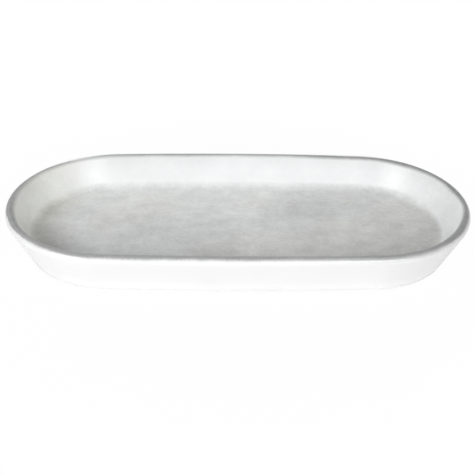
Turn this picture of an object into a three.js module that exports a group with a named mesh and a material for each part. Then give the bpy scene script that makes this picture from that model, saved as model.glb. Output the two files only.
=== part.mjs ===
// Oval serving plate in glazed stoneware: parallel sides with a slight bow, round ends, a straight flared
// wall with a full round lip, a flat well and a foot ring. The fired clay is one piece. Four glaze coats
// lie on it: grey in the well, dark grey over the lip, white outside and white under the floor. Only the
// foot ring, which the plate stands on, is bare clay.
// Millimetres. X runs along the plate, Y across it and Z up from the table.
import * as THREE from 'three';

// Plan, over the rim
const LENGTH = 300;
const WIDTH = 140;
const SIDE_BOW = 1.8; // how far a long side swells out between the two ends

// Heights, from the table upwards
const FOOT_HEIGHT = 5; // table to the glazed underside
const FLOOR = 6.5; // floor with its glaze on both faces
const WELL_DEPTH = 20; // well floor to the top of the lip

// Wall, with its glaze on both faces
const WALL = 6.5;
const WALL_LEAN = 25; // degrees that the wall flares out from upright
const WELL_FILLET = 6.5;

// Foot ring, bare clay
const FOOT_WIDTH = 4; // flat face that stands on the table
const FOOT_ROUND = 0.9; // both edges of that face
const FOOT_DRAFT = 10; // degrees that the ring's inner face leans
const UNDER_FILLET = 1.8;

// Glaze
const GLAZE = 0.45;
const BARE_BAND = 0.6; // clay left bare above the foot's rounded edges
const RIM_EDGE = 45; // degrees above the lip's widest line where the dark band starts outside
const RIM_BAND = 1.5; // how far the dark band runs down the wall inside, below the lip's round

// Facets
const END_STEPS = 26;
const SIDE_STEPS = 6;
const RIM_STEPS = 4;
const LIP_EDGE_STEPS = 2;
const WELL_STEPS = 6;
const FOOT_STEPS = 3;
const UNDER_STEPS = 4;

const height = FOOT_HEIGHT + FLOOR + WELL_DEPTH;
const wellFloor = FOOT_HEIGHT + FLOOR;
const lean = THREE.MathUtils.degToRad(WALL_LEAN);
const draft = THREE.MathUtils.degToRad(FOOT_DRAFT);
const rimEdge = Math.PI - THREE.MathUtils.degToRad(RIM_EDGE);
const upright = Math.PI / 2;

// The plan is four arcs that run into each other: a tight one round each end and a flat one along each
// side. A side's arc turns by sideTurn from its middle to where it meets the end's arc.
function planArcs() {
  const halfLength = LENGTH / 2;
  const halfWidth = WIDTH / 2;
  const sum = halfLength + halfWidth - SIDE_BOW;
  const difference = halfLength - halfWidth;
  const halfTangent = (Math.sqrt(difference ** 2 + 4 * SIDE_BOW * sum) - difference) / (2 * sum);
  const sideTurn = 2 * Math.atan(halfTangent);
  const endRadius = (halfWidth - SIDE_BOW) / Math.cos(sideTurn);
  const sideRadius = SIDE_BOW / (1 - Math.cos(sideTurn));
  const endX = halfLength - endRadius;
  const sideY = halfWidth - sideRadius;
  const end = { radius: endRadius, turn: upright - sideTurn, steps: END_STEPS };
  const side = { radius: sideRadius, turn: sideTurn, steps: SIDE_STEPS };
  return [
    { ...end, x: endX, y: 0, facing: 0 },
    { ...side, x: 0, y: sideY, facing: upright },
    { ...end, x: -endX, y: 0, facing: Math.PI },
    { ...side, x: 0, y: -sideY, facing: 3 * upright },
  ];
}

// Points round the rim, each with the direction that points straight out of the plate there. Because the
// plan is made of arcs, every other level of the plate is the same plan moved in along these directions.
function planStations() {
  const stations = [];
  for (const arc of planArcs()) {
    for (let step = 0; step < arc.steps; step++) {
      const angle = arc.facing - arc.turn + (2 * arc.turn * step) / arc.steps;
      const out = new THREE.Vector2(Math.cos(angle), Math.sin(angle));
      stations.push({ rim: new THREE.Vector2(arc.x, arc.y).addScaledVector(out, arc.radius), out });
    }
  }
  return stations;
}

// The section is drawn in the plane that stands square on the rim: x is the distance in from the rim's
// widest line and y the height above the table.
const point = (x, y) => new THREE.Vector2(x, y);

// Points of an arc, with angles counted from straight in (+x) towards straight up (+y).
function arcPoints(centre, radius, from, to, steps) {
  const points = [];
  for (let step = 0; step <= steps; step++) {
    const angle = THREE.MathUtils.lerp(from, to, step / steps);
    points.push(point(Math.cos(angle), Math.sin(angle)).multiplyScalar(radius).add(centre));
  }
  return points;
}

// Moves a point along a direction until it is at the given height.
function slideToHeight(start, along, level) {
  return start.clone().addScaledVector(along, (level - start.y) / along.y);
}

const wallDown = point(Math.sin(lean), -Math.cos(lean));
const wallIn = point(Math.cos(lean), Math.sin(lean)); // square to the wall, towards the well
const footUp = point(Math.sin(draft), Math.cos(draft));
const footIn = point(Math.cos(draft), -Math.sin(draft)); // square to the ring's inner face
const lipRadius = WALL / 2;
const lipCentre = point(lipRadius, height - lipRadius);
const wellFilletCentre = slideToHeight(
  lipCentre.clone().addScaledVector(wallIn, lipRadius + WELL_FILLET), wallDown, wellFloor + WELL_FILLET);
const heelCentre = slideToHeight(
  lipCentre.clone().addScaledVector(wallIn, FOOT_ROUND + GLAZE - lipRadius), wallDown, FOOT_ROUND);
const footInnerCentre = point(heelCentre.x + FOOT_WIDTH, FOOT_ROUND);
const underFillet = Math.min(UNDER_FILLET, FOOT_HEIGHT - FOOT_ROUND - BARE_BAND);
const underFilletCentre = slideToHeight(
  footInnerCentre.clone().addScaledVector(footIn, FOOT_ROUND + GLAZE + underFillet),
  footUp, FOOT_HEIGHT - underFillet);

// The stretches of the section, in the order in which it runs: from the underside out to the foot, up the
// wall, over the lip and down into the well. Depth is how far below the finished surface a glazed stretch
// lies: 0 is the face of the glaze and GLAZE is the clay under it.
function undersideStretch(depth) {
  const fillet = arcPoints(underFilletCentre, underFillet + depth, upright, Math.PI - draft, UNDER_STEPS);
  const glazeLine = footInnerCentre.clone()
    .addScaledVector(footIn, FOOT_ROUND + GLAZE - depth)
    .addScaledVector(footUp, BARE_BAND);
  return [...fillet, glazeLine];
}

function bareFootStretch() {
  return [
    ...arcPoints(footInnerCentre, FOOT_ROUND, -draft, -upright, FOOT_STEPS),
    ...arcPoints(heelCentre, FOOT_ROUND, 3 * upright, Math.PI + lean, FOOT_STEPS),
  ];
}

function outsideStretch(depth) {
  const glazeLine = heelCentre.clone()
    .addScaledVector(wallIn, depth - GLAZE - FOOT_ROUND)
    .addScaledVector(wallDown, -BARE_BAND);
  const toWidest = arcPoints(lipCentre, lipRadius - depth, Math.PI + lean, Math.PI, LIP_EDGE_STEPS);
  const toBand = arcPoints(lipCentre, lipRadius - depth, Math.PI, rimEdge, LIP_EDGE_STEPS);
  return [glazeLine, ...toWidest, ...toBand.slice(1)];
}

// The dark band starts on the lip's outer shoulder, passes over its top and ends a little way down the well.
function rimStretch(depth) {
  const toTop = arcPoints(lipCentre, lipRadius - depth, rimEdge, upright, RIM_STEPS);
  const toWall = arcPoints(lipCentre, lipRadius - depth, upright, lean, RIM_STEPS);
  const bandEnd = toWall.at(-1).clone().addScaledVector(wallDown, RIM_BAND);
  return [...toTop, ...toWall.slice(1), bandEnd];
}

function wellStretch(depth) {
  const fillet = arcPoints(wellFilletCentre, WELL_FILLET + depth, Math.PI + lean, 3 * upright, WELL_STEPS);
  return [rimStretch(depth).at(-1), ...fillet];
}

// Carries a section round the plan. A ring's section closes on itself. Any other section runs from one
// flat face of the plate to another, and a cap fills each of the two.
function carryRound(section, isRing) {
  const stations = planStations();
  const positions = stations.flatMap(({ rim, out }) =>
    section.flatMap((p) => [rim.x - p.x * out.x, rim.y - p.x * out.y, p.y]));
  const at = (station, row) => (station % stations.length) * section.length + (row % section.length);
  const faces = [];
  const rows = isRing ? section.length : section.length - 1;
  for (let station = 0; station < stations.length; station++) {
    for (let row = 0; row < rows; row++) {
      const [a, b] = [at(station, row), at(station + 1, row)];
      const [c, d] = [at(station + 1, row + 1), at(station, row + 1)];
      faces.push(a, b, c, a, c, d);
    }
  }
  if (!isRing) {
    faces.push(...capFaces(stations, section[0], (station) => at(station, 0)).reverse());
    faces.push(...capFaces(stations, section.at(-1), (station) => at(station, section.length - 1)));
  }
  const geometry = new THREE.BufferGeometry();
  geometry.setAttribute('position', new THREE.Float32BufferAttribute(positions, 3));
  geometry.setIndex(faces);
  geometry.computeVertexNormals();
  return geometry;
}

// Triangles, facing up, that fill the plan at one point of the section.
function capFaces(stations, edge, indexOf) {
  const outline = stations.map(({ rim, out }) => rim.clone().addScaledVector(out, -edge.x));
  return THREE.ShapeUtils.triangulateShape(outline, []).flat().map(indexOf);
}

function clayBody() {
  return carryRound([
    ...undersideStretch(GLAZE),
    ...bareFootStretch(),
    ...outsideStretch(GLAZE),
    ...rimStretch(GLAZE).slice(1),
    ...wellStretch(GLAZE).slice(1),
  ], false);
}

// A coat fills the space between a stretch of the finished surface and the clay under it.
const coatFromFace = (stretch) => [...stretch(0), ...stretch(GLAZE).reverse()];
const coatFromClay = (stretch) => [...stretch(GLAZE).reverse(), ...stretch(0)];

const clay = new THREE.MeshStandardMaterial({ color: 0xe6dfd2, roughness: 0.85, metalness: 0 });
const greyGlaze = new THREE.MeshStandardMaterial({ color: 0xc6c8c4, roughness: 0.3, metalness: 0 });
const darkGlaze = new THREE.MeshStandardMaterial({ color: 0x8b8d8c, roughness: 0.35, metalness: 0 });
const whiteGlaze = new THREE.MeshStandardMaterial({ color: 0xf4f5f6, roughness: 0.2, metalness: 0 });

const plate = new THREE.Group();

function addPiece(name, geometry, material) {
  const mesh = new THREE.Mesh(geometry, material);
  mesh.name = name;
  plate.add(mesh);
}

addPiece('clay_body', clayBody(), clay);
addPiece('well_glaze', carryRound(coatFromClay(wellStretch), false), greyGlaze);
addPiece('rim_glaze', carryRound(coatFromFace(rimStretch), true), darkGlaze);
addPiece('outside_glaze', carryRound(coatFromFace(outsideStretch), true), whiteGlaze);
addPiece('underside_glaze', carryRound(coatFromFace(undersideStretch), false), whiteGlaze);

export default plate;
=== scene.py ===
# %% [markdown]
# # A long oval serving plate in glazed stoneware
#
# The real plate starts as one slab of clay pressed over a mould: a flat floor, a wall that flares out, a
# round lip and a ring to stand on. Glaze is then sprayed and brushed on, grey in the well, darker over the
# lip and white outside, and wiped off the ring so that the plate doesn't stick to the kiln shelf.
#
# The CAD model has the same five pieces with coarse facets. This lesson models each piece again with fine,
# smooth faces in the same place, paints the glazes with procedural materials and sets up a small studio.
# Everything is in metres, X runs along the plate, Y across it away from the viewer, and Z up from the table.

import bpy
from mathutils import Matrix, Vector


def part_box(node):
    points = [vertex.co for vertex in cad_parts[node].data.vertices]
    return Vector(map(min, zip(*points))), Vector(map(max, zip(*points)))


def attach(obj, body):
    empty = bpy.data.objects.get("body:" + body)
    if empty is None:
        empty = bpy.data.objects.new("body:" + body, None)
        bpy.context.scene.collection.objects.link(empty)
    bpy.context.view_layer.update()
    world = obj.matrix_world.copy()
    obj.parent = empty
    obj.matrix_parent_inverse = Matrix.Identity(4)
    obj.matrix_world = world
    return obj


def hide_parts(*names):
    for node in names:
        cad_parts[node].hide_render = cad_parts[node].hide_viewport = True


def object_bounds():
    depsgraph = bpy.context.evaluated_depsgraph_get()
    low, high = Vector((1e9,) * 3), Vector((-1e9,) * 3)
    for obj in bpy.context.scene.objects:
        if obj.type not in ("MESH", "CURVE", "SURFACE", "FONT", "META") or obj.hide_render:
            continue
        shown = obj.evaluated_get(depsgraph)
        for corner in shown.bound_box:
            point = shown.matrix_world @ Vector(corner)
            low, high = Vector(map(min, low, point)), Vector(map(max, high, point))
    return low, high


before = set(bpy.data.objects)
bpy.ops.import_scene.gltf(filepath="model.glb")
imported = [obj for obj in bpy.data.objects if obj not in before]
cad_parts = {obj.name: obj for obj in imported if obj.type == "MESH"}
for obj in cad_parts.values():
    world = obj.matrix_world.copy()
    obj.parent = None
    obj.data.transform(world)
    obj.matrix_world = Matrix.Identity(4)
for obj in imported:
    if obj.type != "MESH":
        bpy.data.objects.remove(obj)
cad_low, cad_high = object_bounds()
print("CAD nodes:", sorted(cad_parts))

# %% Modules
import math

import bmesh
import bpy
from mathutils import Matrix, Vector

# %% [markdown]
# ## Sizes
#
# A potter describes such a plate by its size over the rim, its height and a few thicknesses. The first group
# is measured on the CAD nodes, so the fine pieces can't drift away from them. The second group are shapes
# that a bounding box doesn't show, such as how far the wall leans.

# %% Sizes measured on the frame
length, width, height = cad_high - cad_low
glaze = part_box("outside_glaze")[1].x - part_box("clay_body")[1].x
well_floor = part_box("well_glaze")[0].z + glaze
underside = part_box("underside_glaze")[1].z - glaze

# %% Sizes of the section and the plan
SIDE_BOW = 0.0018  # how far a long side swells out between the two ends
WALL = 0.0065
WALL_LEAN = math.radians(25)  # from upright
WELL_FILLET = 0.0065
FOOT_WIDTH = 0.004
FOOT_ROUND = 0.0009
FOOT_DRAFT = math.radians(10)
UNDER_FILLET = 0.0018
BARE_BAND = 0.0006  # clay left bare above the foot's rounded edges
RIM_EDGE = math.radians(45)  # above the lip's widest line, where the dark coat starts outside
RIM_BAND = 0.0015  # how far the dark coat runs down the wall inside

# %% [markdown]
# ## The plan: four arcs
#
# Seen from above the rim isn't an ellipse: the ends are round and the long sides are nearly straight, with a
# slight swell. Four arcs that run into each other give that shape, and each arc has one centre, so the
# Spin operator can sweep a section along it. A side's arc turns by side_turn from its middle to where the
# end's arc takes over, and that turn follows from the condition that both have the same direction there.
#
# The plate is the same on both sides of its middle lines, so one quarter of the plan is enough: half of the
# right end and half of the far side. Mirroring makes the rest.

# %% Arcs of one quarter of the plan, starting at the middle of the right end
END_STEPS = 56
SIDE_STEPS = 24
quarter = math.pi / 2

half_length = length / 2
half_width = width / 2
reach = half_length + half_width - SIDE_BOW
difference = half_length - half_width
side_turn = 2 * math.atan((math.sqrt(difference ** 2 + 4 * SIDE_BOW * reach) - difference) / (2 * reach))
end_radius = (half_width - SIDE_BOW) / math.cos(side_turn)
side_radius = SIDE_BOW / (1 - math.cos(side_turn))
end_turn = quarter - side_turn
end_centre = Vector((half_length - end_radius, 0, 0))
side_centre = Vector((0, half_width - side_radius, 0))

# %% [markdown]
# ## The section: where its rounds have their centres
#
# The section is drawn at the middle of the right end, where it stands in the XZ plane with the outside to
# the right. Every straight stretch runs into a round, so the centres of the rounds and two directions, down
# the wall and square to it, are all that is needed.

# %% Directions and centres
wall_down = Vector((-math.sin(WALL_LEAN), 0, -math.cos(WALL_LEAN)))
wall_in = Vector((-math.cos(WALL_LEAN), 0, math.sin(WALL_LEAN)))
foot_up = Vector((-math.sin(FOOT_DRAFT), 0, math.cos(FOOT_DRAFT)))
foot_in = Vector((-math.cos(FOOT_DRAFT), 0, -math.sin(FOOT_DRAFT)))
up = Vector((0, 0, 1))


def slide(start, along, level):
    """Moves a point along a direction until it is at the given height."""
    return start + along * ((level - start.z) / along.z)


lip_radius = WALL / 2
lip_centre = Vector((half_length - lip_radius, 0, height - lip_radius))
well_centre = slide(lip_centre + wall_in * (lip_radius + WELL_FILLET), wall_down, well_floor + WELL_FILLET)
heel_centre = slide(lip_centre + wall_in * (FOOT_ROUND + glaze - lip_radius), wall_down, FOOT_ROUND)
foot_centre = heel_centre - Vector((FOOT_WIDTH, 0, 0))
under_start = foot_centre + foot_in * (FOOT_ROUND + glaze + UNDER_FILLET)
under_centre = slide(under_start, foot_up, underside - UNDER_FILLET)

# %% [markdown]
# ## Drawing with two strokes
#
# A section could be typed as a list of points, but the rounds would need many of them. Here it is drawn like
# a pen line instead. A straight stroke is one new vertex and one edge. A round is the Spin operator on the
# last vertex, which leaves a chain of edges behind it.

# %% The two strokes
ACROSS = (0, -1, 0)  # turns from the outside (+X) towards up (+Z)


def line_to(bm, tip, point):
    """Draws a straight stroke from the tip. Without a tip it sets the pen down."""
    vert = bm.verts.new(point)
    if tip:
        bm.edges.new((tip, vert))
    return vert


def round_about(bm, tip, centre, turn, steps):
    """Draws a round stroke from the tip about a centre."""
    spun = bmesh.ops.spin(bm, geom=[tip], cent=centre, axis=ACROSS, angle=turn, steps=steps)
    return spun["geom_last"][0]


# %% [markdown]
# ## The five stretches of the section
#
# The line runs from the underside out to the foot, up the wall, over the lip and down into the well. Each
# glazed stretch can be drawn at two depths: 0 is the face of the glaze, and the glaze's thickness is the
# clay under it. A coat's two faces are then drawn by the same function.

# %% Underside and foot
UNDER_STEPS = 8
FOOT_STEPS = 6


def draw_underside(bm, tip, depth):
    """From the flat underside into the foot ring, down to the glaze line."""
    tip = line_to(bm, tip, under_centre + up * (UNDER_FILLET + depth))
    tip = round_about(bm, tip, under_centre, FOOT_DRAFT - quarter, UNDER_STEPS)
    return line_to(bm, tip, foot_centre + foot_in * (FOOT_ROUND + glaze - depth) + foot_up * BARE_BAND)


def draw_foot(bm, tip):
    """The bare ring, from one glaze line to the other."""
    tip = line_to(bm, tip, foot_centre + foot_in * FOOT_ROUND)
    tip = round_about(bm, tip, foot_centre, quarter - FOOT_DRAFT, FOOT_STEPS)
    tip = line_to(bm, tip, heel_centre - up * FOOT_ROUND)
    return round_about(bm, tip, heel_centre, quarter - WALL_LEAN, FOOT_STEPS)


# %% Outside, lip and well
LIP_STEPS = 12
WALL_STEPS = 6
WELL_STEPS = 20


def draw_wall(bm, tip, start, end):
    """A straight stretch of wall in several steps, so that no face gets too long and thin."""
    for step in range(WALL_STEPS + 1):
        tip = line_to(bm, tip, start.lerp(end, step / WALL_STEPS))
    return tip


def draw_outside(bm, tip, depth):
    """From the glaze line up the wall and round the lip to where the dark coat starts."""
    start = heel_centre - wall_in * (FOOT_ROUND + glaze - depth) - wall_down * BARE_BAND
    tip = draw_wall(bm, tip, start, lip_centre - wall_in * (lip_radius - depth))
    return round_about(bm, tip, lip_centre, WALL_LEAN + RIM_EDGE, LIP_STEPS)


def draw_rim(bm, tip, depth):
    """Over the lip and a little way down the wall inside."""
    toward = Vector((math.cos(RIM_EDGE), 0, math.sin(RIM_EDGE)))
    tip = line_to(bm, tip, lip_centre + toward * (lip_radius - depth))
    tip = round_about(bm, tip, lip_centre, math.pi - WALL_LEAN - RIM_EDGE, LIP_STEPS)
    return line_to(bm, tip, lip_centre + wall_in * (lip_radius - depth) + wall_down * RIM_BAND)


def draw_well(bm, tip, depth):
    """Down the wall inside and round the fillet to the floor."""
    start = lip_centre + wall_in * (lip_radius - depth) + wall_down * RIM_BAND
    tip = draw_wall(bm, tip, start, well_centre - wall_in * (WELL_FILLET + depth))
    return round_about(bm, tip, well_centre, WALL_LEAN - quarter, WELL_STEPS)


# %% [markdown]
# ## From a section to a piece
#
# The section is spun half round the end, and the second spin goes on from there to the middle of the far
# side. Two mirrors then make the whole plate from that quarter, merged along the middle lines. Flat faces are
# filled as one face each and inset, because the narrow ring keeps the shading of the round beside it from
# running out over the flat.

# %% Spin, mirror and fill
TINY = 5e-6  # vertices closer than this are one
FLAT_RING = 0.0015


def carry_round(bm):
    """Sweeps the section over a quarter of the plan and mirrors it twice."""
    section = bm.verts[:] + bm.edges[:]
    spun = bmesh.ops.spin(bm, geom=section, cent=end_centre, axis=up, angle=end_turn, steps=END_STEPS)
    section = spun["geom_last"]
    bmesh.ops.spin(bm, geom=section, cent=side_centre, axis=up, angle=side_turn, steps=SIDE_STEPS)
    for axis in "XY":
        everything = bm.verts[:] + bm.edges[:] + bm.faces[:]
        bmesh.ops.mirror(bm, geom=everything, axis=axis, merge_dist=TINY)
    bmesh.ops.remove_doubles(bm, verts=bm.verts[:], dist=TINY)


def fill_flats(bm):
    """Fills the open loops, such as the floor, and gives each flat face a narrow ring."""
    loops = [edge for edge in bm.edges if edge.is_boundary]
    flats = bmesh.ops.holes_fill(bm, edges=loops, sides=0)["faces"]
    bmesh.ops.inset_region(bm, faces=flats, thickness=FLAT_RING, use_even_offset=True)


# %% Finish a piece
SHARP = math.radians(35)  # edges with a larger angle than this stay crisp


def make_piece(bm, name, node):
    """Turns the faces outwards, shades them smooth and hangs the piece on the frame."""
    bmesh.ops.recalc_face_normals(bm, faces=bm.faces[:])
    for face in bm.faces:
        face.smooth = True
    for edge in bm.edges:
        edge.smooth = edge.calc_face_angle() < SHARP
    mesh = bpy.data.meshes.new(name)
    bm.to_mesh(mesh)
    bm.free()
    piece = bpy.data.objects.new(name, mesh)
    bpy.context.scene.collection.objects.link(piece)
    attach(piece, "root")
    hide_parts(node)
    print(f"{name}: {len(mesh.polygons)} faces")
    return piece


# %% [markdown]
# ## The clay body
#
# The fired clay is one closed piece. It is drawn in one line from the underside to the well, all of it at
# the depth of the clay, and both flat faces are filled. Only its foot ring shows on the finished plate.

# %% Clay body
bm = bmesh.new()
tip = draw_underside(bm, None, glaze)
tip = draw_foot(bm, tip)
tip = draw_outside(bm, tip, glaze)
tip = draw_rim(bm, tip, glaze)
draw_well(bm, tip, glaze)
bmesh.ops.remove_doubles(bm, verts=bm.verts[:], dist=TINY)
carry_round(bm)
fill_flats(bm)
clay_body = make_piece(bm, "plate_clay", "clay_body")

# %% [markdown]
# ## The glaze coats
#
# A coat is a thin skin: its face, its back on the clay, and an edge at each end. Where a coat stops on bare
# clay, surface tension pulls the molten glaze into a rounded bead, so that edge is spun half a turn. Where
# two coats meet, the edge is a plain step inside the glaze.
#
# The dark band on the lip bleeds into its neighbours. To paint that, each vertex of a coat stores how far it
# lies from the top of the lip, measured along the surface: below zero outside, above zero in the well.

# %% Distance from the top of the lip
OVER_LIP = "over_lip"


def past_the_lip(point):
    """Distance along the surface from the top of the lip to a point of the section, above zero inside."""
    offset = point - lip_centre
    along_wall = offset.dot(wall_down)
    if along_wall <= 0:
        return lip_radius * (math.atan2(offset.z, offset.x) - quarter)
    side = 1 if offset.dot(wall_in) > 0 else -1
    return side * (lip_radius * (quarter - side * WALL_LEAN) + along_wall)


# %% Two faces and their ends
BEAD_STEPS = 8


def draw_coat(stretch, start, stop):
    """The section of a coat. An end is a bead on bare clay, a step against a coat, or open at a flat."""
    bm = bmesh.new()
    faces = []
    for depth in (0, glaze):
        count = len(bm.verts)
        last = stretch(bm, None, depth)
        bm.verts.ensure_lookup_table()
        faces.append((bm.verts[count], last))
    (face_start, face_stop), (back_start, back_stop) = faces
    for end, face, back, turn in (
        (start, face_start, back_start, -math.pi),
        (stop, face_stop, back_stop, math.pi),
    ):
        if end == "bead":
            round_about(bm, face, (face.co + back.co) / 2, turn, BEAD_STEPS)
        elif end == "step":
            bm.edges.new((face, back))
    bmesh.ops.remove_doubles(bm, verts=bm.verts[:], dist=TINY)
    over_lip = bm.verts.layers.float.new(OVER_LIP)
    for vert in bm.verts:
        vert[over_lip] = past_the_lip(vert.co)
    return bm


# %% Outside coat and rim coat
bm = draw_coat(draw_outside, start="bead", stop="step")
carry_round(bm)
outside_glaze = make_piece(bm, "plate_outside_glaze", "outside_glaze")

bm = draw_coat(draw_rim, start="step", stop="step")
carry_round(bm)
rim_glaze = make_piece(bm, "plate_rim_glaze", "rim_glaze")

# %% Well coat and underside coat
bm = draw_coat(draw_well, start="step", stop="open")
carry_round(bm)
fill_flats(bm)
well_glaze = make_piece(bm, "plate_well_glaze", "well_glaze")

bm = draw_coat(draw_underside, start="open", stop="bead")
carry_round(bm)
fill_flats(bm)
underside_glaze = make_piece(bm, "plate_underside_glaze", "underside_glaze")

# %% [markdown]
# ## Writing shaders as sums
#
# A material is a graph of nodes, and a graph is hard to read as code. One small class wraps a socket, and
# plain arithmetic on it adds the Math nodes. Every other node comes from its node() method, which sets the
# node's own settings first and then fills its sockets with numbers or links.

# %% A class for sockets
class Wire:
    """One value of a material. Arithmetic adds Math nodes, and node() adds any other node."""

    def __init__(self, tree, socket=None):
        self.tree = tree
        self.socket = socket

    def node(self, kind, settings=None, inputs=None, output=0):
        made = self.tree.nodes.new(kind)
        for name, value in (settings or {}).items():
            setattr(made, name, value)
        for key, value in (inputs or {}).items():
            if isinstance(value, Wire):
                self.tree.links.new(value.socket, made.inputs[key])
            else:
                made.inputs[key].default_value = value
        return Wire(self.tree, made.outputs[output])

    def maths(self, operation, first, second):
        return self.node("ShaderNodeMath", {"operation": operation}, {0: first, 1: second})

    def __add__(self, other):
        return self.maths("ADD", self, other)

    def __radd__(self, other):
        return self.maths("ADD", other, self)

    def __sub__(self, other):
        return self.maths("SUBTRACT", self, other)

    def __rsub__(self, other):
        return self.maths("SUBTRACT", other, self)

    def __mul__(self, other):
        return self.maths("MULTIPLY", self, other)

    def __rmul__(self, other):
        return self.maths("MULTIPLY", other, self)


# %% [markdown]
# Three kinds of helper cover all the glazes: noise for what is cloudy, a smooth fade between two values, and
# colours that are mixed or shaded.

# %% Noise, fades and colours
NOISE_MIDDLE = 0.5
MIX_FACTOR, MIX_FIRST, MIX_SECOND, MIX_RESULT = 0, 6, 7, 2  # the colour sockets of a Mix node


def noise(place, size, detail=4, roughness=0.55):
    """Cloudy noise about 0.5 whose main spots are about this size, in metres."""
    return place.node("ShaderNodeTexNoise", None,
                      {"Vector": place, "Scale": 1 / size, "Detail": detail, "Roughness": roughness})


def uneven(place, strength, **kind):
    """Cloudy noise of this strength about 0."""
    return strength * (noise(place, **kind) - NOISE_MIDDLE)


def fade(value, start, end):
    """Rises smoothly from 0 where the value is start to 1 where it is end."""
    return value.node("ShaderNodeMapRange", {"interpolation_type": "SMOOTHSTEP"},
                      {"Value": value, "From Min": start, "From Max": end})


def mix(factor, first, second):
    """A colour between two others."""
    return factor.node("ShaderNodeMix", {"data_type": "RGBA"},
                       {MIX_FACTOR: factor, MIX_FIRST: first, MIX_SECOND: second}, MIX_RESULT)


def shade(colour, tone):
    """A colour made lighter or darker by a tone about 1."""
    return tone.node("ShaderNodeMix", {"data_type": "RGBA", "blend_type": "MULTIPLY"},
                     {MIX_FACTOR: 1, MIX_FIRST: colour, MIX_SECOND: tone}, MIX_RESULT)


# %% [markdown]
# A glaze also differs from place to place on the plate. A spot is round, and a region is bounded along X or
# Y or both. Each is 1 inside and fades softly to 0.

# %% Places on the plate
def axis_of(place, axis):
    """One of a place's three coordinates."""
    return place.node("ShaderNodeSeparateXYZ", None, {0: place}, axis)


def spot(place, middle, radius):
    """1 in the middle of a round spot, fading to 0 at its edge."""
    away = place.node("ShaderNodeVectorMath", {"operation": "DISTANCE"}, {0: place, 1: middle}, "Value")
    return fade(away, radius, 0)


def region(place, **limits):
    """1 in a region and 0 off it. Along each named axis it fades in between two values."""
    inside = None
    for axis, (start, end) in limits.items():
        along = fade(axis_of(place, axis), start, end)
        inside = inside * along if inside else along
    return inside


def over_the_lip(place):
    """The distance from the top of the lip that the coats carry."""
    return place.node("ShaderNodeAttribute", {"attribute_name": OVER_LIP}, output="Fac")


# %% Start and finish a material
def new_finish(name, *pieces):
    """A new material on some pieces, with the wire from its Object coordinates."""
    material = bpy.data.materials.new(name)
    material.use_nodes = True
    for piece in pieces:
        piece.data.materials.append(material)
    place = Wire(material.node_tree).node("ShaderNodeTexCoord", output="Object")
    return material, place


def set_surface(material, colour, roughness, bumps, depth):
    """Feeds the Principled shader. The bumps, from 0 to 1, are this deep in metres."""
    tree = material.node_tree
    surface = tree.nodes["Principled BSDF"]
    normal = bumps.node("ShaderNodeBump", None, {"Height": bumps, "Distance": depth})
    tree.links.new(colour.socket, surface.inputs["Base Color"])
    tree.links.new(roughness.socket, surface.inputs["Roughness"])
    tree.links.new(normal.socket, surface.inputs["Normal"])
    print(f"{material.name}: {len(tree.nodes)} nodes")


# %% [markdown]
# ## The white glaze
#
# Outside and underneath the plate has a plain white glaze with a good gloss. Real white glaze is never quite
# even: it lies a little thicker here and there, and its surface has the faint waviness of something that has
# flowed. Near the foot the white is painted lighter: painted light, for what the white table throws up onto
# it.

# %% White glaze
WHITE = (0.82, 0.819, 0.823, 1)
WHITE_CLOUDS = {"strength": 0.04, "size": 0.03}
BOUNCE_TOP, BOUNCE_FULL = 0.012, 0.003  # heights between which the painted light from the table fades in
BOUNCE_PALER = 0.04
LONG_WAVES = {"size": 0.006, "detail": 2}
SHORT_WAVES = {"size": 0.0012, "detail": 2}
LONG_SHARE = 0.7


def white_glaze(place):
    """The colour of the white glaze."""
    # Lighter towards the foot: painted light from the white table.
    painted_bounce = fade(axis_of(place, "Z"), BOUNCE_TOP, BOUNCE_FULL)
    return shade(WHITE, 1 + uneven(place, **WHITE_CLOUDS) + BOUNCE_PALER * painted_bounce)


def glaze_waves(place):
    """The height of a glaze that has flowed and set, from 0 to 1."""
    return LONG_SHARE * noise(place, **LONG_WAVES) + (1 - LONG_SHARE) * noise(place, **SHORT_WAVES)


# %% [markdown]
# ## The grey glaze in the well
#
# The well's glaze is a pale satin grey that broke up into clouds as it melted: soft clouds some centimetres
# wide, smudges of a few millimetres, drawn out along the plate, and a fine grain. Each is one layer of noise.
# The glaze slid off the steep wall, so that is paler and smoother than the floor. The change is soft along
# the far side and crisp at the right end. At the left end the glaze is a little yellower.
#
# Sprayed glaze never lies quite even: here it is thin in the middle. A few round spots with soft edges are
# enough for that, and the same spots paint light and shade: the floor is painted paler along the far side,
# painted light from the bright far wall, and darker near the front edge and in the near left corner, painted
# shade cast by the near and left walls. On the wall a spot paints shade in the near left corner too.

# %% Colours and layers of the grey glaze
GREY_COOL = (0.696, 0.706, 0.707, 1)
GREY_WALL = (0.702, 0.707, 0.712, 1)
GREY_WARM = (0.698, 0.706, 0.66, 1)
FLOOR_TONE = 0.9
WALL_TONE = 1.03
FAR_WALL_DARKER = 0.055
# Painted light: the floor is lighter next to the bright far wall, which lights it.
FAR_FLOOR_PAINTED_LIGHT = 0.06
CLOUDS = {"strength": 0.25, "size": 0.045, "detail": 5}
SMUDGES = {"strength": 0.52, "size": 0.011, "detail": 5, "roughness": 0.65}
SMUDGE_SQUEEZE = (0.8, 1, 1)  # a place is squeezed along X, which draws the smudges out
GRAIN = {"strength": 0.3, "size": 0.0018, "detail": 3, "roughness": 0.6}
WALL_CALMER = 0.4  # how much weaker smudges and grain are on the wall, and again on the far wall
WARM_NOISE = {"size": 0.07, "detail": 2}
WARM_FROM, WARM_FULL = 0.4, 0.6  # the noise's values between which the glaze turns yellower
WARM_SHARE = 0.5
WARM_FAR_LOSS = 0.9
WARM_LEFT = 0.8

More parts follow.
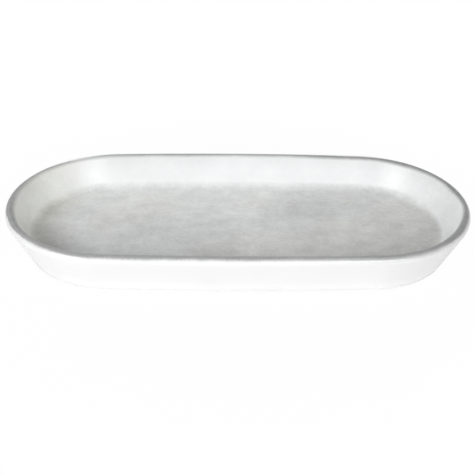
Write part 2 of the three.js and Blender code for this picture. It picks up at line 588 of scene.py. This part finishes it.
# %% Places in the well
FAR_SIDE = {"Y": (0.03, 0.055)}
FAR_FLOOR = {"Y": (0.038, 0.052)}
LEFT_END = {"X": (-0.1, -0.13)}
RIGHT_CREASE = {"X": (0.105, 0.125), "Y": (0.018, 0.002)}
WALL_START = 0.0035  # height above the floor where the wall's paler glaze is reached
FAR_WALL_HIGHER = 0.0015
RIGHT_WALL_LOWER = 0.0018
CREASE_SHADE = 0.1  # painted shade along the foot of the far wall
CREASE_SHADE_TOP, CREASE_SHADE_FULL = 0.005, 0.0005
CREASE_SHADE_BOTTOM = 0.0003
FLOOR_SPOTS_AND_SHADE = (  # a spot's middle and radius, and how much paler the floor is there, from uneven glaze and painted light and shade
    ((-0.06, 0.06, well_floor), 0.1, 0.15),
    ((0.03, 0.06, well_floor), 0.08, 0.12),
    ((0.005, 0.003, well_floor), 0.045, 0.06),
    ((0.045, 0.028, well_floor), 0.034, -0.16),
    ((-0.06, 0.003, well_floor), 0.03, -0.08),
    ((-0.046, -0.024, well_floor), 0.03, 0.1),
    ((0.076, -0.004, well_floor), 0.024, 0.07),
    ((0.112, 0.033, well_floor), 0.026, 0.1),
    ((-0.112, 0.038, well_floor), 0.022, 0.12),
    ((0.08, -0.04, well_floor), 0.08, -0.13),
    ((-0.03, -0.045, well_floor), 0.065, -0.12),
    ((-0.1, -0.038, well_floor), 0.032, -0.1),
    ((-0.132, -0.017, well_floor), 0.03, -0.3),
    ((-0.117, -0.026, well_floor), 0.022, -0.18),
)
WALL_SPOTS_AND_SHADE = (  # the same for the wall, where the near left spot is painted shade
    ((-0.108, 0.051, height), 0.034, 0.07),
    ((-0.14, -0.018, height), 0.035, -0.15),
    ((0.14, -0.01, height), 0.05, 0.035),
)


# %% Grey glaze
def spotted(place, spots):
    """The sum of several spots, each with its own strength."""
    return sum(change * spot(place, middle, radius) for middle, radius, change in spots)


def grey_tone(place, above, wall, far):
    """How light the grey glaze is, with some painted light and shade. Wall and far are 1 on the wall and on
    the far side.
    """
    floor = 1 - wall
    far_wall = wall * far
    squeezed = place.node("ShaderNodeVectorMath", {"operation": "MULTIPLY"}, {0: place, 1: SMUDGE_SQUEEZE})
    broken = uneven(squeezed, **SMUDGES) + uneven(place, **GRAIN)
    # Painted shade in the crease at the foot of the far wall.
    crease_shade = far * fade(above, CREASE_SHADE_TOP, CREASE_SHADE_FULL) * fade(above, 0, CREASE_SHADE_BOTTOM)
    tone = FLOOR_TONE + (WALL_TONE - FLOOR_TONE) * wall - FAR_WALL_DARKER * far_wall
    tone = tone + uneven(place, **CLOUDS) + broken * (1 - WALL_CALMER * wall - WALL_CALMER * far_wall)
    tone = tone + floor * spotted(place, FLOOR_SPOTS_AND_SHADE) + wall * spotted(place, WALL_SPOTS_AND_SHADE)
    # The floor's far edge gets painted light, and the far crease painted shade.
    return tone + FAR_FLOOR_PAINTED_LIGHT * region(place, **FAR_FLOOR) * floor - CREASE_SHADE * crease_shade


def grey_glaze(place):
    """The colour of the grey glaze."""
    above = axis_of(place, "Z") - well_floor
    far = region(place, **FAR_SIDE)
    wall_start = WALL_START + FAR_WALL_HIGHER * far - RIGHT_WALL_LOWER * region(place, **RIGHT_CREASE)
    wall = fade(above, 0, wall_start)
    warm_clouds = fade(noise(place, **WARM_NOISE), WARM_FROM, WARM_FULL)
    warmth = WARM_SHARE * warm_clouds * (1 - wall) * (1 - WARM_FAR_LOSS * far)
    warmth = warmth + WARM_LEFT * region(place, **LEFT_END)
    colour = mix(warmth, mix(wall, GREY_COOL, GREY_WALL), GREY_WARM)
    return shade(colour, grey_tone(place, above, wall, far))


# %% [markdown]
# ## The dark band over the lip
#
# The lip carries a darker grey that was brushed on last, so its edges are ragged and it bleeds a little into
# the white outside and the grey inside. The distance from the top of the lip says where a point is on the
# band, and noise pushes that distance to and fro before the band's edges are drawn.
#
# Nobody brushes evenly, so each measure of the band has a usual value and a list of what some parts of the
# lip add to it. The brush left most at the two ends and along the near side, and least at the far left. On
# the left end and along the far side the band is also darker as painted shade, where the lamps light the lip
# more.
# Outside, a faint grey runs further down than the band: painted shade that keeps the lit shoulder from
# looking brighter than the wall. The shoulder stays bare at two places on the far side. Inside, the band is
# narrower along the far side, and a faint tail fades out down the wall.

# %% Parts of the lip
LIP_REGIONS = {  # along each axis, where a part fades in and where it is reached
    "right half": {"X": (0.01, 0.1)},
    "right third": {"X": (0.03, 0.1)},
    "right end": {"X": (0.11, 0.14)},
    "left third": {"X": (-0.08, -0.13)},
    "left end": {"X": (-0.11, -0.14)},
    "near side": {"Y": (0.01, -0.03)},
    "near left half": {"X": (0.1, 0.01), "Y": (0.01, -0.03)},
    "near left": {"X": (-0.1, -0.135), "Y": (0.01, -0.03)},
    "near right": {"X": (0.11, 0.14), "Y": (-0.028, -0.042)},
    "far side": {"X": (-0.085, -0.06), "Y": (0.054, 0.06)},
    "far left": {"X": (-0.115, -0.135), "Y": (0, 0.03)},
}
LIP_SPOTS = {  # a spot's middle and radius
    "bare right": ((0.085, 0.067, height), 0.07),
    "bare left": ((-0.11, 0.057, height), 0.05),
    "far right": ((0.145, 0.02, height), 0.022),
    "right middle": ((0.146, -0.009, height), 0.026),
    "worn corner": ((-0.105, 0.056, height), 0.036),
    "thin corner": ((-0.133, -0.042, height), 0.025),
}


def lip_parts(place):
    """How much a place belongs to each part of the lip, from 0 to 1."""
    parts = {name: region(place, **limits) for name, limits in LIP_REGIONS.items()}
    for name, (middle, radius) in LIP_SPOTS.items():
        parts[name] = spot(place, middle, radius)
    return parts


def measure(usual, changes, parts):
    """A measure of the band: its usual value and what each part of the lip adds to it."""
    for name, change in changes.items():
        usual = usual + change * parts[name]
    return usual


# %% Measures of the band, with lengths counted from the top of the lip
OUTER_EDGE = (-0.00245, {
    "right half": -0.00035, "right end": 0.0003, "left end": -0.0006, "near left": 0.0009,
    "bare right": 0.0035, "bare left": 0.0035,
})
OUTER_SOFTNESS = (0.00125, {"right half": 0.00115, "right end": -0.00125, "left end": -0.0006})
BARE_CRISPER = 0.75
SHOULDER_SHADE = (0.18, {"right half": 0.1})  # how much of the band's darkness the painted shade on the outer shoulder has
SHOULDER_SHADE_END = (-0.0066, {"right half": -0.0004})
SHOULDER_SHADE_FULL = -0.0034
INNER_EDGE = (0.002, {
    "near side": 0.001, "near right": 0.0012, "bare right": 0.0014, "far right": 0.0005,
    "far left": -0.0009, "far side": -0.0006, "right middle": -0.0014,
})
INNER_SOFTNESS = (0.0018, {"left end": 0.001})
TAIL = 0.07
TAIL_END, TAIL_FULL = 0.012, 0.003
# How thick the dark glaze lies. The extra on the left part and along the far side is painted shade where the
# lamps light the lip more.
THICKNESS_AND_SHADE = (0.74, {
    "right third": 0.2, "right end": 0.08, "left third": 0.14, "left end": 0.14, "near left half": 0.11,
    "far side": 0.06, "worn corner": -0.25, "thin corner": -0.14,
})
THICKNESS_CLOUDS = {"strength": 0.3, "size": 0.03}
RAGGED_WAVES = {"strength": 0.0018, "size": 0.02}
RAGGED_GRAIN = {"strength": 0.0012, "size": 0.0014, "detail": 3, "roughness": 0.65}


# %% Dark band
def dark_band(place):
    """How much of the dark glaze lies on a place, from 0 to 1, with ragged edges and with painted shade on
    the lip.
    """
    parts = lip_parts(place)
    bare = parts["bare right"] + parts["bare left"]
    past = over_the_lip(place) + uneven(place, **RAGGED_WAVES) + uneven(place, **RAGGED_GRAIN)
    edge = measure(*OUTER_EDGE, parts)
    soft = measure(*OUTER_SOFTNESS, parts) * (1 - BARE_CRISPER * bare)
    outer = fade(past, edge - soft, edge + soft)
    # Painted shade: a faint grey below the band keeps the lit outer shoulder from looking brighter than the
    # wall.
    shoulder_shade = measure(*SHOULDER_SHADE, parts) * (1 - bare) * fade(past, measure(*SHOULDER_SHADE_END, parts), SHOULDER_SHADE_FULL)
    edge = measure(*INNER_EDGE, parts)
    soft = measure(*INNER_SOFTNESS, parts)
    inner = (1 - TAIL) * fade(past, edge + soft, edge - soft) + TAIL * fade(past, TAIL_END, TAIL_FULL)
    thickness = measure(*THICKNESS_AND_SHADE, parts) + uneven(place, **THICKNESS_CLOUDS)
    return (shoulder_shade + (1 - shoulder_shade) * outer) * inner * thickness


# %% Dark glaze
DARK = (0.238, 0.24, 0.239, 1)
DARK_CLOUDS = {"strength": 0.5, "size": 0.006, "detail": 5, "roughness": 0.65}
DARK_GRAIN = {"strength": 0.4, "size": 0.0012, "detail": 3}


def dark_glaze(place):
    """The colour of the dark glaze, worn and cloudy."""
    return shade(DARK, 1 + uneven(place, **DARK_CLOUDS) + uneven(place, **DARK_GRAIN))


# %% [markdown]
# ## Painting the coats
#
# The white glaze is glossy, and the grey and the dark glaze are satin. The gloss of each varies a little from
# place to place. On the lip the dark band lies on both of its neighbours: white outside its top line and grey
# inside it.

# %% White coats
GLOSSY = {"smoothest": 0.16, "spread": 0.08, "size": 0.01}
GLOSSY_UNDERNEATH = {"smoothest": 0.2, "spread": 0.1, "size": 0.01}
SHALLOW_WAVES = 0.00002
DEEP_WAVES = 0.00003


def gloss(place, smoothest, spread, size):
    """A roughness that varies from place to place."""
    return smoothest + spread * noise(place, size)


material, place = new_finish("white_glaze", outside_glaze)
colour = mix(dark_band(place), white_glaze(place), dark_glaze(place))
set_surface(material, colour, gloss(place, **GLOSSY), glaze_waves(place), SHALLOW_WAVES)

material, place = new_finish("white_glaze_underneath", underside_glaze)
roughness = gloss(place, **GLOSSY_UNDERNEATH)
set_surface(material, white_glaze(place), roughness, glaze_waves(place), DEEP_WAVES)

# %% Grey coat and rim coat
SATIN = {"smoothest": 0.28, "spread": 0.16, "size": 0.008}
TOP_LINE = 0.0002  # half the width in which white turns to grey under the band

material, place = new_finish("grey_glaze", well_glaze)
colour = mix(dark_band(place), grey_glaze(place), dark_glaze(place))
set_surface(material, colour, gloss(place, **SATIN), glaze_waves(place), DEEP_WAVES)

material, place = new_finish("dark_glaze", rim_glaze)
inside = fade(over_the_lip(place), -TOP_LINE, TOP_LINE)
ground = mix(inside, white_glaze(place), grey_glaze(place))
colour = mix(dark_band(place), ground, dark_glaze(place))
set_surface(material, colour, gloss(place, **SATIN), glaze_waves(place), DEEP_WAVES)

# %% [markdown]
# ## The bare clay
#
# Fired stoneware is dry and slightly rough, with a warm off-white colour and fine darker grains. It shows
# only on the foot ring.

# %% Bare clay
CLAY = (0.76, 0.73, 0.66, 1)
CLAY_CLOUDS = {"strength": 0.2, "size": 0.012}
CLAY_GRAINS = {"size": 0.0006, "detail": 3, "roughness": 0.6}
GRAIN_TONE = 0.25
GRAIN_DEPTH = 0.00008
SPECKS = {"size": 0.0011, "detail": 1}
SPECK_FROM, SPECK_FULL = 0.66, 0.72  # the noise's values between which a speck starts
SPECK_DARKER = 0.3
CLAY_ROUGHNESS = 0.85
GRAIN_ROUGHER = 0.1

material, place = new_finish("bare_clay", clay_body)
grains = noise(place, **CLAY_GRAINS)
specks = fade(noise(place, **SPECKS), SPECK_FROM, SPECK_FULL)
tone = 1 + uneven(place, **CLAY_CLOUDS) + GRAIN_TONE * (grains - NOISE_MIDDLE) - SPECK_DARKER * specks
set_surface(material, shade(CLAY, tone), CLAY_ROUGHNESS + GRAIN_ROUGHER * grains, grains, GRAIN_DEPTH)

# %% [markdown]
# ## The studio
#
# The plate stands on a white table that runs to the horizon. The camera sees it almost pure white: all but a
# few hundredths of what it shows is plain emission, which doesn't light the plate. The rest is its lit
# surface, and with it the shadow of the plate. The gloss of the glaze mirrors the lit table close to the
# plate and plain white further out.

# %% Table
TABLE_SIZE = 6
bm = bmesh.new()
bmesh.ops.create_grid(bm, x_segments=1, y_segments=1, size=TABLE_SIZE / 2)
mesh = bpy.data.meshes.new("table")
bm.to_mesh(mesh)
bm.free()
table = bpy.data.objects.new("table", mesh)
bpy.context.scene.collection.objects.link(table)
print(f"table: {TABLE_SIZE} m square, {len(mesh.polygons)} face")

# %% Table's material
TABLE_WHITE = (0.8, 0.8, 0.8, 1)
PURE_WHITE = (1, 1, 1, 1)
TABLE_MIDDLE = (0, 0, 0)
SHADOW_SHARE = 0.06  # how much of the table's look, close to the plate, is its lit and shaded surface
SHADOW_REACH = length
MIRRORED_SHARE = 0.9  # the same for the table as the glaze mirrors it
MIRRORED_REACH = 2 * length


def seen_directly(wire):
    """1 for rays from the camera or off a shiny surface, 0 for the rays that light the scene."""
    rays = wire.node("ShaderNodeLightPath", output="Is Camera Ray")
    for name in ("Is Glossy Ray", "Is Transmission Ray"):
        rays = rays.maths("MAXIMUM", rays, wire.node("ShaderNodeLightPath", output=name))
    return rays


material, place = new_finish("table_white", table)
tree = material.node_tree
seen = place.node("ShaderNodeLightPath", output="Is Camera Ray")
mirrored = seen_directly(place) - seen
white = seen * (1 - SHADOW_SHARE * spot(place, TABLE_MIDDLE, SHADOW_REACH))
white = white + mirrored * (1 - MIRRORED_SHARE * spot(place, TABLE_MIDDLE, MIRRORED_REACH))
matt = place.node("ShaderNodeBsdfDiffuse", None, {"Color": TABLE_WHITE})
glow = place.node("ShaderNodeEmission", None, {"Color": PURE_WHITE, "Strength": 1})
both = place.node("ShaderNodeMixShader", None, {0: white, 1: matt, 2: glow})
tree.links.new(both.socket, tree.nodes["Material Output"].inputs["Surface"])
print(f"{material.name}: {len(tree.nodes)} nodes")

# %% Surroundings
AMBIENT = 0.25

world = bpy.data.worlds.new("studio")
world.use_nodes = True
bpy.context.scene.world = world
strength = AMBIENT + (1 - AMBIENT) * seen_directly(Wire(world.node_tree))
background = world.node_tree.nodes["Background"]
background.inputs["Color"].default_value = PURE_WHITE
world.node_tree.links.new(strength.socket, background.inputs["Strength"])
print("ambient light:", AMBIENT)

# %% [markdown]
# ## Lights
#
# The photo has two broad soft lights in front of the plate, the left one a little stronger: together they
# brighten the far wall and leave the left end of the well in soft shade. A weak one on the right and another
# behind the plate keep its other sides from going dull. Two low strips behind it light the back of its wall.
# They stand so low that the far lip keeps them off most of the well floor, and they don't show in the gloss.

# %% Softboxes
PLATE_MIDDLE = Vector((0, 0, height / 2))
SOFTBOX_DISTANCE = 1.2
SOFTBOX_SIZE = 0.6
STRIP_HEIGHT = 0.1
SOFTBOXES = {  # azimuth and elevation in degrees, and level
    "front_left_softbox": (-45, 24, 0.62),
    "front_right_softbox": (25, 24, 0.5),
    "right_softbox": (90, 24, 0.15),
    "back_softbox": (-135, 40, 0.15),
}
LOW_STRIPS = {
    "low_left_softbox": (-165, 6, 0.26),
    "low_right_softbox": (165, 6, 0.26),
}


def softbox(name, azimuth, elevation, level, tall=SOFTBOX_SIZE, shines=True):
    """A broad light, or a strip, that is turned to the plate. Azimuth 0 is the front and grows to the right,
    and the level is how bright it makes a white card that faces it."""
    light = bpy.data.lights.new(name, "AREA")
    light.shape = "RECTANGLE"
    light.size = SOFTBOX_SIZE
    light.size_y = tall
    light.energy = level * (math.pi * SOFTBOX_DISTANCE) ** 2
    lamp = bpy.data.objects.new(name, light)
    around = Matrix.Rotation(math.radians(azimuth), 3, "Z")
    raised = Matrix.Rotation(-math.radians(elevation), 3, "X")
    toward = around @ raised @ Vector((0, -1, 0))
    lamp.location = PLATE_MIDDLE + toward * SOFTBOX_DISTANCE
    lamp.rotation_euler = toward.to_track_quat("Z", "Y").to_euler()
    lamp.visible_camera = False
    lamp.visible_glossy = shines
    bpy.context.scene.collection.objects.link(lamp)
    print(f"{name}: {light.energy:.1f} W")


for name, setting in SOFTBOXES.items():
    softbox(name, *setting)
for name, setting in LOW_STRIPS.items():
    softbox(name, *setting, tall=STRIP_HEIGHT, shines=False)

# %% [markdown]
# ## The camera
#
# The photo looks down on the long side from a little above, close enough that the near rim is clearly longer
# than the far one. The place and the angles were found by fitting the outline of the rim.

# %% Camera
CAMERA_PLACE = Vector((-0.01051, -0.49712, 0.31535))
CAMERA_AZIMUTH = math.radians(1.174)
CAMERA_PITCH = math.radians(32.119)
CAMERA_ROLL = math.radians(0.958)
LENS = 66.71  # focal length and sensor in mm
SENSOR_WIDTH = 36

camera_data = bpy.data.cameras.new("camera")
camera_data.lens = LENS
camera_data.sensor_width = SENSOR_WIDTH
camera = bpy.data.objects.new("camera", camera_data)
camera.matrix_world = (
    Matrix.Translation(CAMERA_PLACE)
    @ Matrix.Rotation(-CAMERA_AZIMUTH, 4, "Z")
    @ Matrix.Rotation(quarter - CAMERA_PITCH, 4, "X")
    @ Matrix.Rotation(CAMERA_ROLL, 4, "Z")
)
bpy.context.scene.collection.objects.link(camera)
bpy.context.scene.camera = camera
bpy.context.scene.view_settings.view_transform = "Standard"
print(f"camera {(CAMERA_PLACE - PLATE_MIDDLE).length:.3f} m from the plate's middle")
